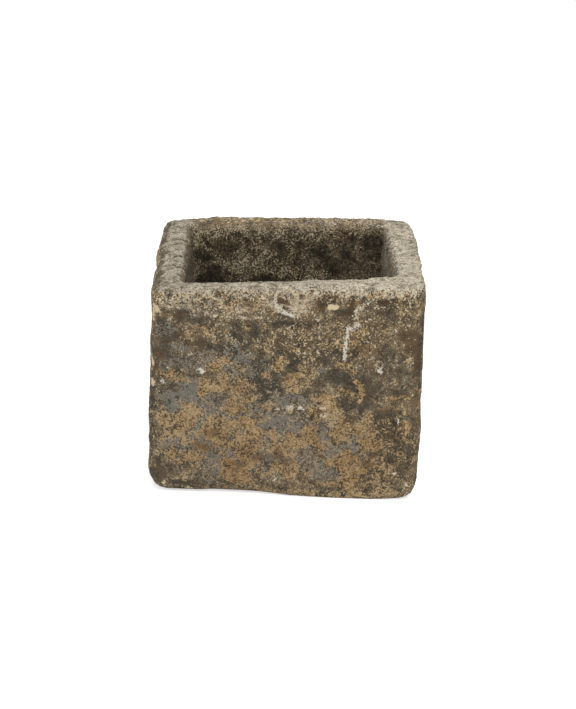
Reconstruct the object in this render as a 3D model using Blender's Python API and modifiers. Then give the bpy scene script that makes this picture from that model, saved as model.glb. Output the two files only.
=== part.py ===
"""A square garden trough, cut by hand from one block of limestone.

Metres, +Z up. The block stands on z = 0 with its middle over the origin and its front looking
along -Y. It is one piece: a block with a cavity sunk in its top, left out of square and uneven
by the chisel, with every arris rounded by wear.
"""

import math

import bmesh
import bpy
from mathutils import Matrix, Vector

# The block
BLOCK_WIDTH = 0.424
BLOCK_DEPTH = 0.420
RIM_HEIGHT = 0.349

# The walls, at the rim, and the floor under the cavity
LEFT_WALL = 0.051
RIGHT_WALL = 0.046
FRONT_WALL = 0.057
BACK_WALL = 0.062
FLOOR_THICKNESS = 0.070

# How far each wall of the cavity leans in on its way down to the floor
CAVITY_DRAFT = 0.008

# Rounding of the upright corners: the block's back right one is the most worn, and the cavity's
# was left widest at the front right and sharpest at the back
FRONT_CORNER_RADIUS = 0.026
BACK_LEFT_CORNER_RADIUS = 0.018
BACK_RIGHT_CORNER_RADIUS = 0.044
CAVITY_BACK_RADIUS = 0.010
CAVITY_FRONT_LEFT_RADIUS = 0.020
CAVITY_FRONT_RIGHT_RADIUS = 0.044

# Rounding of the level arrises
BASE_RADIUS = 0.030
OUTER_RIM_RADIUS = 0.018
LEFT_RIM_RADIUS = 0.022
RIGHT_RIM_RADIUS = 0.010
INNER_RIM_RADIUS = 0.014
FLOOR_RADIUS = 0.024

# Under the front, the base's arris is least worn at SHARP_PLACE along it, and as worn as the
# rest of it SHARP_REACH to either side
SHARP_BASE_RADIUS = 0.005
SHARP_PLACE = 0.085
SHARP_REACH = 0.110

# How far the rim stands over RIM_HEIGHT at each corner
RIM_FRONT_LEFT = -0.012
RIM_FRONT_RIGHT = 0.005
RIM_BACK_LEFT = -0.005
RIM_BACK_RIGHT = 0.005

# How much lower the rim's very corners are at the back
BACK_CORNER_DROOP = 0.006

# Out of square: the back stands left of the front, the right side leans in as it rises, and the
# front wall is thicker at its right end. SIDE_SHIFT brings the whole over the origin again.
BACK_SHIFT = -0.009
RIGHT_LEAN = 0.004
FRONT_WALL_FLARE = 0.008
SIDE_SHIFT = -0.0018

# Strokes of a broad chisel across the top of the left wall, one of them ending at STROKE_END
STROKE_PITCH = 0.086
STROKE_END = 0.048
STROKE_DEPTH = 0.004

# Uneven faces: broad hollows, and smaller knocks. The base and the cavity's floor stay flat.
HOLLOW_SIZE = 0.110
HOLLOW_DEPTH = 0.006
KNOCK_SIZE = 0.035
KNOCK_DEPTH = 0.004

# Fineness of the mesh
FACE_SPACING = 0.022
ARC_STEPS = 4

LIMESTONE_COLOUR = (0.150, 0.125, 0.092, 1.0)
LIMESTONE_ROUGHNESS = 0.92

LEFT, RIGHT = -BLOCK_WIDTH / 2, BLOCK_WIDTH / 2
FRONT, BACK = -BLOCK_DEPTH / 2, BLOCK_DEPTH / 2
MOUTH_LEFT, MOUTH_RIGHT = LEFT + LEFT_WALL, RIGHT - RIGHT_WALL
MOUTH_FRONT, MOUTH_BACK = FRONT + FRONT_WALL, BACK - BACK_WALL

# An edge between faces that meet more sharply than this is an arris
ARRIS_ANGLE = math.radians(45)
NEAR = 1e-5


def between(low, high, share):
    return low + (high - low) * share


def close(a, b):
    return abs(a - b) < NEAR


def block_mesh():
    mesh = bmesh.new()
    size = Matrix.Diagonal((BLOCK_WIDTH, BLOCK_DEPTH, RIM_HEIGHT, 1.0))
    standing = Matrix.Translation((0.0, 0.0, RIM_HEIGHT / 2))
    bmesh.ops.create_cube(mesh, size=1.0, matrix=standing @ size)
    return mesh


def loop_cut(mesh, axis, place):
    """Cuts all the way round the mesh, square to one axis."""
    normal = Vector((0.0, 0.0, 0.0))
    normal[axis] = 1.0
    everything = mesh.verts[:] + mesh.edges[:] + mesh.faces[:]
    bmesh.ops.bisect_plane(
        mesh, geom=everything, dist=NEAR, plane_co=normal * place, plane_no=normal
    )


def sink_cavity(mesh):
    """Marks the mouth out on the top with four cuts, then sinks what lies inside them."""
    for place in (MOUTH_LEFT, MOUTH_RIGHT):
        loop_cut(mesh, 0, place)
    for place in (MOUTH_FRONT, MOUTH_BACK):
        loop_cut(mesh, 1, place)
    top_centre = Vector((0.0, 0.0, RIM_HEIGHT))
    mouth = min(mesh.faces, key=lambda face: (face.calc_center_median() - top_centre).length)
    sunk = bmesh.ops.extrude_discrete_faces(mesh, faces=[mouth])
    floor = sunk["faces"][0].verts[:]
    bmesh.ops.translate(mesh, verts=floor, vec=(0.0, 0.0, FLOOR_THICKNESS - RIM_HEIGHT))


def cut_evenly(mesh, axis, low, high):
    """Cuts a stretch into pieces of about FACE_SPACING, and leaves its two ends uncut."""
    count = max(2, round((high - low) / FACE_SPACING))
    for i in range(1, count):
        loop_cut(mesh, axis, between(low, high, i / count))


def cut_faces(mesh):
    """Makes the faces fine enough to be uneven, clear of the rounding of every arris."""
    cut_evenly(mesh, 0, MOUTH_LEFT + FLOOR_RADIUS, MOUTH_RIGHT - CAVITY_FRONT_RIGHT_RADIUS)
    cut_evenly(mesh, 1, MOUTH_FRONT + CAVITY_FRONT_RIGHT_RADIUS, MOUTH_BACK - FLOOR_RADIUS)
    cut_evenly(mesh, 2, BASE_RADIUS, FLOOR_THICKNESS)
    loop_cut(mesh, 2, FLOOR_THICKNESS)
    cut_evenly(mesh, 2, FLOOR_THICKNESS + FLOOR_RADIUS, RIM_HEIGHT - OUTER_RIM_RADIUS)


def base_radius(middle):
    """The rounding of the base's arris, part of which is sharper under the front."""
    if not close(middle.y, FRONT):
        return BASE_RADIUS
    share = max(0.0, 1 - ((middle.x - SHARP_PLACE) / SHARP_REACH) ** 2)
    return between(BASE_RADIUS, SHARP_BASE_RADIUS, share)


def corner_radius(middle, outside):
    """The rounding of an upright corner of the block or of its cavity."""
    at_right, at_back = middle.x > 0.0, middle.y > 0.0
    if outside and at_back:
        return BACK_RIGHT_CORNER_RADIUS if at_right else BACK_LEFT_CORNER_RADIUS
    if outside:
        return FRONT_CORNER_RADIUS
    if at_back:
        return CAVITY_BACK_RADIUS
    return CAVITY_FRONT_RIGHT_RADIUS if at_right else CAVITY_FRONT_LEFT_RADIUS


def arris_radius(edge):
    """The rounding that an edge of the squared block gets: none where it isn't an arris."""
    if edge.calc_face_angle() < ARRIS_ANGLE:
        return 0.0
    start, end = (vert.co for vert in edge.verts)
    middle = (start + end) / 2
    outside = close(abs(middle.x), RIGHT) or close(abs(middle.y), BACK)
    if not close(start.z, end.z):
        return corner_radius(middle, outside)
    if close(middle.z, 0.0):
        return base_radius(middle)
    if close(middle.z, FLOOR_THICKNESS):
        return FLOOR_RADIUS
    if close(middle.x, RIGHT):
        return RIGHT_RIM_RADIUS
    if close(middle.x, LEFT):
        return LEFT_RIM_RADIUS
    return OUTER_RIM_RADIUS if outside else INNER_RIM_RADIUS


def mark_arrises(mesh):
    """Writes each arris's share of the widest radius as its bevel weight."""
    weight = mesh.edges.layers.float.new("bevel_weight_edge")
    radii = {edge: arris_radius(edge) for edge in mesh.edges}
    widest = max(radii.values())
    for edge, radius in radii.items():
        edge[weight] = radius / widest
    return widest


def in_cavity(point):
    """True on the cavity's mouth, walls and floor, and false on the outside of the block."""
    in_plan = (
        MOUTH_LEFT - NEAR < point.x < MOUTH_RIGHT + NEAR
        and MOUTH_FRONT - NEAR < point.y < MOUTH_BACK + NEAR
    )
    return in_plan and point.z > FLOOR_THICKNESS - NEAR


def on_flat_face(point):
    """True on the base and on the cavity's floor."""
    return close(point.z, 0.0) or (close(point.z, FLOOR_THICKNESS) and in_cavity(point))


def drafted(point, below_rim):
    """Brings a point of the cavity towards its middle as the walls lean in."""
    middle_x = (MOUTH_LEFT + MOUTH_RIGHT) / 2
    middle_y = (MOUTH_FRONT + MOUTH_BACK) / 2
    lean = CAVITY_DRAFT * below_rim
    in_x = (point.x - middle_x) / (MOUTH_RIGHT - middle_x) * lean
    in_y = (point.y - middle_y) / (MOUTH_BACK - middle_y) * lean
    return point - Vector((in_x, in_y, 0.0))


def chisel_stroke(point):
    """Depth of the strokes, which cross the top of the left wall only and swell between their
    ends."""
    if point.x > MOUTH_LEFT + NEAR or point.z < RIM_HEIGHT - NEAR:
        return 0.0
    swell = abs(math.sin(math.pi * (point.y - STROKE_END) / STROKE_PITCH))
    return STROKE_DEPTH * (1 - swell)


def hand_cut(point):
    """Moves a point of the squared block to where the hand-cut one has it. The base and the
    cavity's floor stay level."""
    across = (point.x - LEFT) / BLOCK_WIDTH
    back = (point.y - FRONT) / BLOCK_DEPTH
    over_floor = max(0.0, (point.z - FLOOR_THICKNESS) / (RIM_HEIGHT - FLOOR_THICKNESS))
    front_lift = between(RIM_FRONT_LEFT, RIM_FRONT_RIGHT, across)
    back_lift = between(RIM_BACK_LEFT, RIM_BACK_RIGHT, across)
    lift = between(front_lift, back_lift, back)
    if close(point.y, BACK) and (close(point.x, LEFT) or close(point.x, RIGHT)):
        lift -= BACK_CORNER_DROOP
    lift = lift * over_floor - chisel_stroke(point)
    lean = RIGHT_LEAN * across * (1 - point.z / RIM_HEIGHT)
    sideways = BACK_SHIFT * (back - 0.5) + lean + SIDE_SHIFT
    flare = 0.0
    if in_cavity(point):
        flare = FRONT_WALL_FLARE * (2 * across - 1) * (1 - back) * over_floor
        point = drafted(point, 1 - over_floor)
    return point + Vector((sideways, flare, lift))


def make_uneven(body, name, size, depth):
    """Pushes the surface in and out by a cloudy pattern, except on the flat faces."""
    clouds = bpy.data.textures.new(name, "CLOUDS")
    clouds.noise_scale = size
    push = body.modifiers.new(name, "DISPLACE")
    push.texture = clouds
    push.texture_coords = "LOCAL"
    push.strength = depth
    push.vertex_group = "uneven"


def limestone():
    material = bpy.data.materials.new("weathered_limestone")
    material.use_nodes = True
    shader = material.node_tree.nodes["Principled BSDF"]
    shader.inputs["Base Color"].default_value = LIMESTONE_COLOUR
    shader.inputs["Roughness"].default_value = LIMESTONE_ROUGHNESS
    shader.inputs["Metallic"].default_value = 0.0
    return material


def trough_body(collection):
    mesh = block_mesh()
    sink_cavity(mesh)
    cut_faces(mesh)
    widest_radius = mark_arrises(mesh)
    uneven_points = [i for i, vert in enumerate(mesh.verts) if not on_flat_face(vert.co)]
    for vert in mesh.verts:
        vert.co = hand_cut(vert.co)
    data = bpy.data.meshes.new("trough_body")
    mesh.to_mesh(data)
    mesh.free()
    data.materials.append(limestone())
    data.shade_smooth()

    body = bpy.data.objects.new("trough_body", data)
    collection.objects.link(body)
    uneven = body.vertex_groups.new(name="uneven")
    uneven.add(uneven_points, 1.0, "REPLACE")

    worn = body.modifiers.new("worn arrises", "BEVEL")
    worn.limit_method = "WEIGHT"
    worn.width = widest_radius
    worn.segments = ARC_STEPS
    make_uneven(body, "hollows", HOLLOW_SIZE, HOLLOW_DEPTH)
    make_uneven(body, "knocks", KNOCK_SIZE, KNOCK_DEPTH)
    return body


def main():
    for old in list(bpy.data.objects):
        bpy.data.objects.remove(old, do_unlink=True)
    collection = bpy.data.collections.new("limestone_trough")
    bpy.context.scene.collection.children.link(collection)
    trough_body(collection)


main()
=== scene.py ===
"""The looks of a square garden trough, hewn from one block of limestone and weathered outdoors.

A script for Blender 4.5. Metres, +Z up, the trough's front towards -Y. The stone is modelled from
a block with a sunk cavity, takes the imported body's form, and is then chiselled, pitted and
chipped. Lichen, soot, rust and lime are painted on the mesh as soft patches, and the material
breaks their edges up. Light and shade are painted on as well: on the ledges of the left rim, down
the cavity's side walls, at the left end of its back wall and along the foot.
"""

import math

import bmesh
import bpy
import numpy as np
from bpy.props import FloatProperty, FloatVectorProperty, PointerProperty
from bpy.types import Operator, Panel, PropertyGroup
from mathutils import Matrix, Vector, noise


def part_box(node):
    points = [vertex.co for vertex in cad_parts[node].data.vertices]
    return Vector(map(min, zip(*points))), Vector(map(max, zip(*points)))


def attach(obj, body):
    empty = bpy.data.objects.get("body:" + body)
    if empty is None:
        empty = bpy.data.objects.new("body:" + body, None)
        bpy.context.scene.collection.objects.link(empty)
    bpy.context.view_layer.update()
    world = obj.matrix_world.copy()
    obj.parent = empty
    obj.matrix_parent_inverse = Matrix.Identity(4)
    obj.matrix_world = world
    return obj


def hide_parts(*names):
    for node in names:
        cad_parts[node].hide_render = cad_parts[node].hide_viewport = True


bl_info = {
    "name": "Limestone trough",
    "version": (1, 0, 0),
    "blender": (4, 5, 0),
    "location": "View3D > Sidebar > Trough",
    "description": "Dresses a packed garden trough as weathered, hand-cut limestone",
    "category": "Add Mesh",
}

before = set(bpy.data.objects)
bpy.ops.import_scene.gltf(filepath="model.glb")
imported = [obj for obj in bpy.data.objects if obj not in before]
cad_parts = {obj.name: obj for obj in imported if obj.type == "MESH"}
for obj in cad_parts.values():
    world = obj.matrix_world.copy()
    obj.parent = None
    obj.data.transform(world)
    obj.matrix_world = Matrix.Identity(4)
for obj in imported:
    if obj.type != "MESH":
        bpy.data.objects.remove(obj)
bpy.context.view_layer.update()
LOW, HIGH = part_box("trough_body")
MM = 0.001
MOST_TRIANGLES = 196000
SEED = 7

# Patches on the front, in millimetres: across from its middle and up from its foot, half width
# and half height, and how strong it is, from 0 to 10
FRONT_PATCHES = {
    "ochre": (
        (210, 70, 13, 70, 3.4), (-211, 100, 12, 75, 3.4), (-20, 95, 190, 90, 3), (140, 45, 60, 45, 5),
        (165, 105, 40, 62, 3.6), (105, 262, 40, 28, 5), (-125, 275, 18, 10, 5), (-150, 265, 10, 8, 4),
        (-105, 300, 12, 14, 5), (-95, 312, 14, 8, 7), (-45, 312, 14, 10, 6), (-60, 278, 10, 6, 7),
        (-30, 270, 12, 14, 5), (-32, 250, 10, 10, 5), (-95, 225, 14, 8, 6), (-105, 215, 12, 10, 7),
        (-70, 215, 14, 9, 4.5), (-25, 202, 8, 6, 8), (-15, 225, 14, 10, 7), (-90, 200, 22, 8, 4),
        (-115, 188, 22, 10, 6.5), (-165, 200, 22, 8, 5), (-160, 190, 20, 6, 6), (-190, 205, 8, 8, 5),
        (-70, 187, 16, 10, 5.5), (10, 190, 16, 12, 9), (30, 200, 18, 12, 5), (35, 222, 16, 12, 5),
        (40, 210, 8, 8, 7), (25, 270, 18, 12, 4), (108, 212, 8, 5, 8), (95, 222, 14, 8, 5),
        (123, 242, 5, 8, 7), (115, 190, 8, 12, 7), (140, 262, 18, 14, 3), (120, 270, 14, 10, 3),
        (185, 290, 12, 8, 4), (180, 240, 8, 8, 4), (75, 275, 14, 8, 4), (170, 198, 8, 4, 5),
        (-112, 178, 20, 12, 10), (-60, 172, 35, 14, 6), (-150, 130, 28, 16, 8.5), (-185, 130, 18, 14, 7),
        (-95, 115, 28, 18, 8), (-115, 103, 20, 14, 8.5), (-50, 114, 26, 18, 10), (-75, 150, 22, 12, 7.5),
        (-30, 150, 18, 14, 6), (-165, 110, 28, 20, 7), (-185, 92, 14, 14, 7.5), (-140, 90, 14, 7, 5),
        (-90, 92, 26, 12, 7.5), (-55, 83, 32, 18, 8.5), (-125, 78, 18, 9, 8), (-145, 60, 14, 14, 7),
        (-130, 60, 16, 9, 7), (-170, 67, 10, 8, 8), (-190, 64, 8, 7, 6), (-185, 55, 10, 5, 5),
        (-135, 45, 16, 12, 5.5), (-70, 50, 20, 15, 9), (-45, 60, 18, 14, 7.5), (-75, 32, 22, 13, 9),
        (-60, 22, 10, 12, 8), (-38, 40, 14, 12, 5), (-8, 48, 14, 18, 8), (-5, 80, 14, 14, 7),
        (-15, 105, 12, 8, 7), (-150, 28, 16, 8, 4.5), (68, 167, 24, 14, 10), (60, 145, 38, 14, 7),
        (85, 150, 14, 10, 7), (30, 106, 22, 14, 8), (50, 95, 18, 11, 8), (25, 92, 20, 9, 8),
        (50, 130, 14, 12, 7), (8, 95, 14, 16, 8.5), (15, 75, 20, 12, 7.5), (105, 118, 22, 14, 9.5),
        (120, 115, 12, 14, 7), (133, 130, 7, 12, 8.5), (140, 99, 18, 12, 8.5), (135, 88, 14, 9, 8),
        (148, 88, 8, 14, 6), (90, 98, 10, 7, 8), (105, 75, 16, 12, 9), (95, 62, 18, 16, 9),
        (130, 57, 14, 10, 7), (150, 55, 14, 8, 6), (158, 62, 10, 8, 6), (112, 36, 20, 20, 10),
        (45, 42, 8, 7, 8), (10, 50, 14, 14, 8.5), (80, 25, 30, 5, 6), (38, 28, 14, 8, 5),
        (152, 43, 8, 5, 7), (168, 44, 8, 5, 7), (175, 170, 7, 5, 9), (190, 175, 10, 7, 6),
        (196, 124, 7, 13, 10), (190, 108, 6, 8, 5), (165, 155, 14, 5, 6), (120, 175, 8, 11, 7),
        (190, 146, 8, 3, 8), (148, 152, 6, 4, 5), (150, 172, 12, 8, 3.5),
    ),
    "tan": (
        (211, 190, 14, 150, 3.4), (-211, 150, 12, 130, 3.2), (72, 132, 20, 14, 9), (42, 140, 12, 9, 5),
        (15, 148, 12, 7, 6), (60, 152, 14, 5, 6), (104, 35, 12, 12, 5), (155, 13, 12, 8, 8),
        (178, 14, 16, 8, 10), (125, 8, 6, 4, 8), (45, 11, 20, 4, 6), (30, 95, 12, 6, 4),
        (-50, 114, 12, 10, 5), (-100, 120, 16, 8, 4), (-112, 182, 14, 7, 5), (75, 160, 12, 6, 5),
        (-60, 278, 8, 5, 5), (-100, 293, 12, 7, 5), (190, 235, 10, 7, 6), (-42, 251, 9, 6, 5),
        (52, 206, 9, 4, 6), (30, 316, 8, 10, 4), (16, 336, 20, 8, 5), (196, 122, 5, 7, 6),
        # The two long patches along the foot are tan lichen, and also painted light that lightens the foot
        # where the floor's shade falls
        (-60, 6, 110, 9, 4.5), (90, 4, 110, 9, 5), (92, 138, 12, 8, 6), (-85, 178, 12, 5, 4),
        (-72, 190, 10, 6, 4),
    ),
    "slate": (
        (-60, 100, 150, 85, 6.2), (70, 80, 100, 70, 5.6), (-100, 215, 90, 35, 4), (-148, 170, 24, 26, 10),
        (-172, 150, 22, 12, 8.5), (-120, 142, 14, 16, 8), (-127, 100, 9, 20, 10), (-90, 58, 18, 22, 10),
        (-105, 35, 12, 12, 8), (-75, 132, 14, 12, 7), (-15, 122, 26, 18, 10), (-32, 98, 12, 7, 8),
        (-165, 85, 14, 9, 8), (-30, 88, 8, 7, 5), (-20, 60, 8, 10, 6), (15, 130, 22, 14, 8.5),
        (10, 165, 30, 12, 7), (68, 105, 14, 14, 9.5), (75, 88, 14, 11, 8), (108, 91, 12, 9, 9),
        (127, 75, 12, 12, 8), (65, 45, 18, 16, 9.5), (30, 62, 16, 10, 8), (115, 52, 12, 6, 7),
        (-162, 245, 14, 10, 6), (-185, 272, 14, 11, 4.5), (-65, 232, 10, 8, 7), (-75, 205, 14, 6, 7),
        (-140, 182, 14, 12, 10), (55, 212, 14, 8, 6), (-38, 227, 10, 9, 5), (160, 240, 16, 9, 4),
        (105, 252, 8, 6, 5), (-95, 238, 16, 6, 5), (-112, 25, 10, 9, 6),
    ),
    "soot": (
        (-72, 264, 16, 11, 10), (-50, 273, 6, 19, 10), (-62, 248, 44, 42, 2.8), (-68, 247, 3, 9, 9),
        (-130, 252, 18, 9, 5), (-113, 245, 12, 7, 7), (-50, 190, 14, 10, 10), (-45, 202, 7, 12, 8),
        (-20, 205, 14, 12, 7), (-45, 222, 13, 11, 6), (-10, 287, 14, 6, 9), (6, 286, 8, 6, 8),
        (12, 228, 12, 10, 10), (20, 232, 36, 30, 3), (31, 208, 6, 4, 7), (80, 212, 8, 12, 9),
        (95, 194, 14, 12, 8.5), (62, 235, 14, 11, 6), (107, 240, 10, 9, 4), (130, 302, 11, 8, 6),
        (135, 190, 20, 10, 5), (-140, 300, 30, 13, 4), (-115, 305, 10, 7, 6), (-154, 312, 6, 8, 8),
        (-175, 305, 12, 7, 5), (-190, 285, 10, 9, 6), (-22, 176, 15, 13, 10), (-10, 163, 8, 9, 6),
        (-206, 120, 6, 90, 7.5), (-170, 50, 36, 11, 7), (-188, 32, 20, 18, 6), (-160, 17, 40, 6, 6),
        (-165, 86, 8, 5, 6), (-190, 250, 24, 45, 5.5), (104, 176, 13, 16, 9.5), (128, 165, 16, 22, 6),
        (123, 142, 13, 15, 8.5), (165, 130, 26, 22, 7.5), (150, 118, 12, 16, 6), (164, 88, 12, 30, 7),
        (185, 70, 20, 36, 5), (204, 90, 10, 55, 4), (140, 60, 4, 5, 9), (-210, 262, 5, 55, 7),
        (180, 42, 28, 16, 3), (150, 30, 18, 12, 5), (206, 45, 10, 30, 4), (22, 172, 22, 8, 5),
        (210, 240, 5, 90, 7), (55, 24, 5, 3, 7), (90, 30, 4, 3, 8), (-35, 212, 40, 34, 4),
        (-180, 225, 16, 12, 4), (70, 60, 20, 14, 3),
    ),
    "brown": (
        (-7, 322, 10, 7, 10), (3, 320, 5, 4, 10), (-102, 331, 7, 3, 10), (-72, 338, 3, 2, 9),
        (37, 341, 5, 4, 10), (22, 333, 5, 3, 9), (101, 326, 6, 5, 10), (100, 314, 5, 10, 10),
        (148, 326, 11, 5, 10), (50, 318, 10, 8, 8.5), (70, 334, 14, 5, 6), (92, 305, 7, 6, 8),
        (145, 308, 9, 4, 7), (-165, 293, 10, 8, 6), (-165, 265, 14, 6, 6), (-184, 251, 6, 4, 9),
        (-153, 253, 3, 3, 9), (-195, 232, 8, 8, 6), (-197, 210, 5, 6, 5), (184, 271, 10, 8, 8),
        (201, 262, 11, 30, 7), (203, 236, 5, 8, 10), (147, 244, 4, 3, 9), (190, 252, 12, 8, 6),
        (71, 221, 3, 3, 8), (175, 216, 4, 4, 7), (130, 250, 12, 14, 3.5), (206, 170, 9, 55, 3.5),
        (-125, 80, 22, 8, 3.5), (-30, 70, 20, 11, 4), (-108, 104, 10, 7, 4), (-4, 72, 9, 9, 5),
        (-65, 55, 9, 7, 4), (-190, 38, 13, 9, 2.5), (170, 110, 8, 6, 8), (144, 75, 8, 6, 5),
        (160, 150, 20, 7, 5), (4, 60, 12, 7, 4.5), (186, 180, 9, 7, 5), (130, 60, 10, 8, 4),
        (-203, 330, 5, 10, 5), (204, 240, 7, 34, 6.5),
    ),
    "crust": (
        (0, 270, 215, 75, 4.5), (-165, 328, 24, 14, 9), (-130, 315, 16, 15, 9), (-180, 318, 12, 8, 6),
        (-84, 250, 20, 14, 10), (-40, 262, 12, 16, 7), (-15, 235, 16, 14, 7), (-30, 305, 14, 12, 6),
        (-85, 295, 10, 8, 5), (-50, 298, 12, 6, 5), (15, 283, 18, 12, 9), (25, 262, 24, 15, 8.5),
        (12, 250, 24, 12, 8.5), (42, 250, 20, 12, 6), (35, 230, 16, 12, 6), (160, 335, 48, 18, 10),
        (130, 340, 24, 10, 8), (186, 308, 14, 22, 7), (60, 290, 16, 10, 4), (100, 345, 20, 8, 6),
        (50, 342, 20, 7, 6), (-25, 222, 14, 10, 5), (-160, 22, 30, 8, 3.5), (-8, 32, 10, 8, 5),
        (185, 95, 14, 24, 4),
    ),
    "bloom": (
        (-165, 324, 14, 8, 5), (-193, 335, 13, 6, 9), (-116, 316, 4, 5, 8), (-105, 322, 8, 3, 9),
        (-72, 332, 16, 7, 5), (-30, 340, 16, 5, 8), (-16, 324, 6, 9, 9), (-11, 311, 7, 7, 10),
        (1, 304, 12, 5, 10), (13, 300, 9, 4, 8), (18, 318, 17, 12, 8.5), (26, 325, 9, 5, 7),
        (-68, 295, 8, 3, 8), (-58, 293, 7, 2.5, 7), (-110, 308, 50, 14, 3.5), (-150, 318, 36, 18, 5.2),
        (10, 325, 50, 20, 4.2), (107, 305, 5, 9, 7.5), (112, 316, 9, 4, 6), (108, 285, 8, 6, 7),
        (147, 218, 7, 6, 7), (10, 150, 9, 5, 6), (64, 140, 10, 6, 4), (-204, 290, 4, 12, 5),
        (10, 338, 24, 6, 5), (-130, 338, 14, 4, 5), (108, 342, 14, 6, 6),
    ),
    "lime": (
        (147, 217, 3.5, 3, 9), (-126, 205, 4, 4, 10), (-132, 209, 2.5, 4, 8), (12, 152, 4.5, 2, 8),
        (27, 150, 3, 3, 10), (64, 138, 2.2, 2.2, 10), (62, 152, 5, 2, 6), (181, 134, 1.8, 4.5, 10),
        (179, 46, 2.2, 2.2, 10), (198, 26, 3, 3, 9), (-188, 186, 2.2, 5, 9), (125, 263, 3.5, 2, 8),
        (170, 283, 2, 4, 6), (113, 148, 2.5, 3.5, 5), (-10, 33, 2.5, 4.5, 9), (-8, 27, 4, 1.5, 7),
        (-6, 147, 7, 2, 6), (110, 288, 3, 4, 9), (-10, 309, 4, 4, 7), (3, 303, 7, 3, 7), (24, 308, 5, 3, 5),
    ),
    "mortar": (
        (-200, 304, 9, 7, 10), (-205, 291, 2.5, 14, 10), (-205, 214, 4, 8, 10), (-204, 182, 4, 8, 10),
        (69, 317, 4.5, 5, 10), (77, 317, 4.5, 3.8, 10), (65, 315, 3, 2, 8), (-143, 8, 7, 2.5, 9),
        (-155, 10, 3, 3, 7), (-184, 16, 3, 3, 8),
    ),
}

# White runs down the front: half width, strength from 0 to 1, then the points of each, across
# and up
LIME_RUNS = (
    (2.6, 0.95, ((96, 284), (96, 274), (93, 258), (94, 246), (92, 234))),
    (2.2, 0.8, ((96, 283), (103, 281), (109, 287))),
    (1.6, 0.5, ((105, 310), (112, 318), (122, 322), (130, 327))),
    (1.4, 0.5, ((43, 303), (49, 294), (53, 281))),
    (1.6, 0.5, ((-46, 300), (-38, 306))),
    (2.4, 0.7, ((-18, 327), (-15, 315), (-5, 305), (8, 301), (18, 299))),
)

# Patches on the cavity's back wall, in the same form
CAVITY_PATCHES = {
    "mottle": (
        (-148, 322, 16, 28, 10), (-122, 336, 24, 10, 9), (-144, 340, 26, 13, 10), (-92, 344, 22, 9, 9),
        (-50, 346, 14, 8, 8), (-15, 335, 12, 12, 8), (5, 322, 12, 9, 5), (75, 350, 85, 9, 8),
        (-75, 278, 36, 20, 9), (-40, 297, 14, 9, 8), (0, 268, 20, 12, 7), (50, 262, 22, 10, 5),
        (140, 285, 12, 16, 4), (-152, 278, 8, 9, 5),
    ),
    "brown": (
        (-118, 320, 28, 9, 6), (-70, 318, 22, 9, 5), (95, 330, 22, 12, 8), (40, 330, 30, 9, 4),
    ),
    # Soot on the back wall; the strong patches at its left end, by the left wall, are painted shade as well
    "soot": (
        (-142, 298, 18, 20, 10), (-128, 256, 30, 12, 10), (-40, 252, 26, 9, 10), (-100, 302, 10, 8, 6),
        (90, 285, 26, 22, 9), (145, 312, 14, 20, 8), (20, 318, 14, 8, 6), (-20, 310, 10, 10, 5),
        (55, 300, 12, 14, 5),
    ),
}

# How many patches of each kind lie on a side that the photograph doesn't show, and the least
# and greatest of their half widths
UNSEEN_PATCHES = {
    "ochre": (44, 8, 30),
    "tan": (8, 8, 22),
    "slate": (20, 7, 22),
    "soot": (26, 8, 45),
    "brown": (18, 5, 18),
    "crust": (9, 14, 34),
    "bloom": (6, 5, 16),
    "lime": (10, 2, 6),
    "mortar": (3, 3, 8),
}

# Ledges across the top of the left wall: how strong each is, then its line from the outside
# inwards, as places across and back. The crack's line is given likewise, then its depth in
# metres, and how far off its line it starts and reaches that depth, in millimetres.
LEDGES = (
    (1.0, ((-218, 36), (-206, 41), (-190, 46), (-170, 50), (-150, 52))),
    (0.6, ((-218, 0), (-206, 8), (-190, 20), (-180, 26), (-150, 34))),
    (0.5, ((-218, -36), (-200, -26), (-180, -12), (-150, -8))),
    (1.0, ((-218, -104), (-202, -89), (-190, -60), (-180, -45), (-169, -37), (-150, -32))),
    (0.9, ((-218, -170), (-200, -150), (-186, -120), (-173, -107), (-150, -100))),
    (0.5, ((-218, -192), (-202, -189), (-183, -186), (-165, -176), (-150, -170))),
    (0.5, ((-218, 84), (-197, 92), (-180, 90), (-150, 84))),
    (0.4, ((-218, 140), (-200, 134), (-180, 130), (-150, 130))),
)
CRACK = ((-206, -168), (-200, -158), (-192, -142), (-186, -130), (-173, -116))
CRACK_DEPTH = 0.0035
CRACK_EDGE, CRACK_BED = 3.5, 0.8

# Swells along an edge, in metres: how high each is, where its middle is, how far from there it
# ends, and how far from there it is level
FOOT_SWELLS = ((0.004, 0.080, 0.130, 0.060), (0.004, -0.160, 0.060, 0.025))
RIGHT_RIM_SWELLS = ((0.004, 0.030, 0.140, 0.070), (0.003, -0.085, 0.060, 0.020))
BACK_RIM_SWELLS = ((0.002, 0.028, 0.035, 0.010), (0.0012, -0.062, 0.024, 0.006))
BACK_RIM_LIFT = 0.001

# How far a filled-out arris reaches over the faces beside it, and how far down the inner edge of
# the front rim is worn
ARRIS_REACH = 0.030
FRONT_RIM_WEAR = 0.0055

# How fast chips fade away from an arris, and how far chisel strokes run slantwise over the walls
CHIP_REACH = 0.014
STROKE_SLANT = 0.35

# From how far in to how far out the mark for height runs, in all, and the rounds of smoothing
# that give the surface it is measured from
HEIGHT_RANGE = 0.0016
ROUNDS = 8


def screen_colour(red, green, blue):
    """A colour as a screen shows it, 0 to 255, in Blender's linear values."""
    shares = (value / 255 for value in (red, green, blue))
    return tuple(s / 12.92 if s <= 0.04045 else ((s + 0.055) / 1.055) ** 2.4 for s in shares)


def length(name, metres, description):
    return FloatProperty(name=name, default=metres, description=description, unit="LENGTH")


def angle(name, degrees, description):
    turn = math.radians(degrees)
    return FloatProperty(name=name, default=turn, description=description, subtype="ANGLE")


def colour(name, red, green, blue, description):
    return FloatVectorProperty(
        name=name,
        default=screen_colour(red, green, blue),
        description=description,
        subtype="COLOR",
        min=0.0,
        max=1.0,
    )


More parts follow.
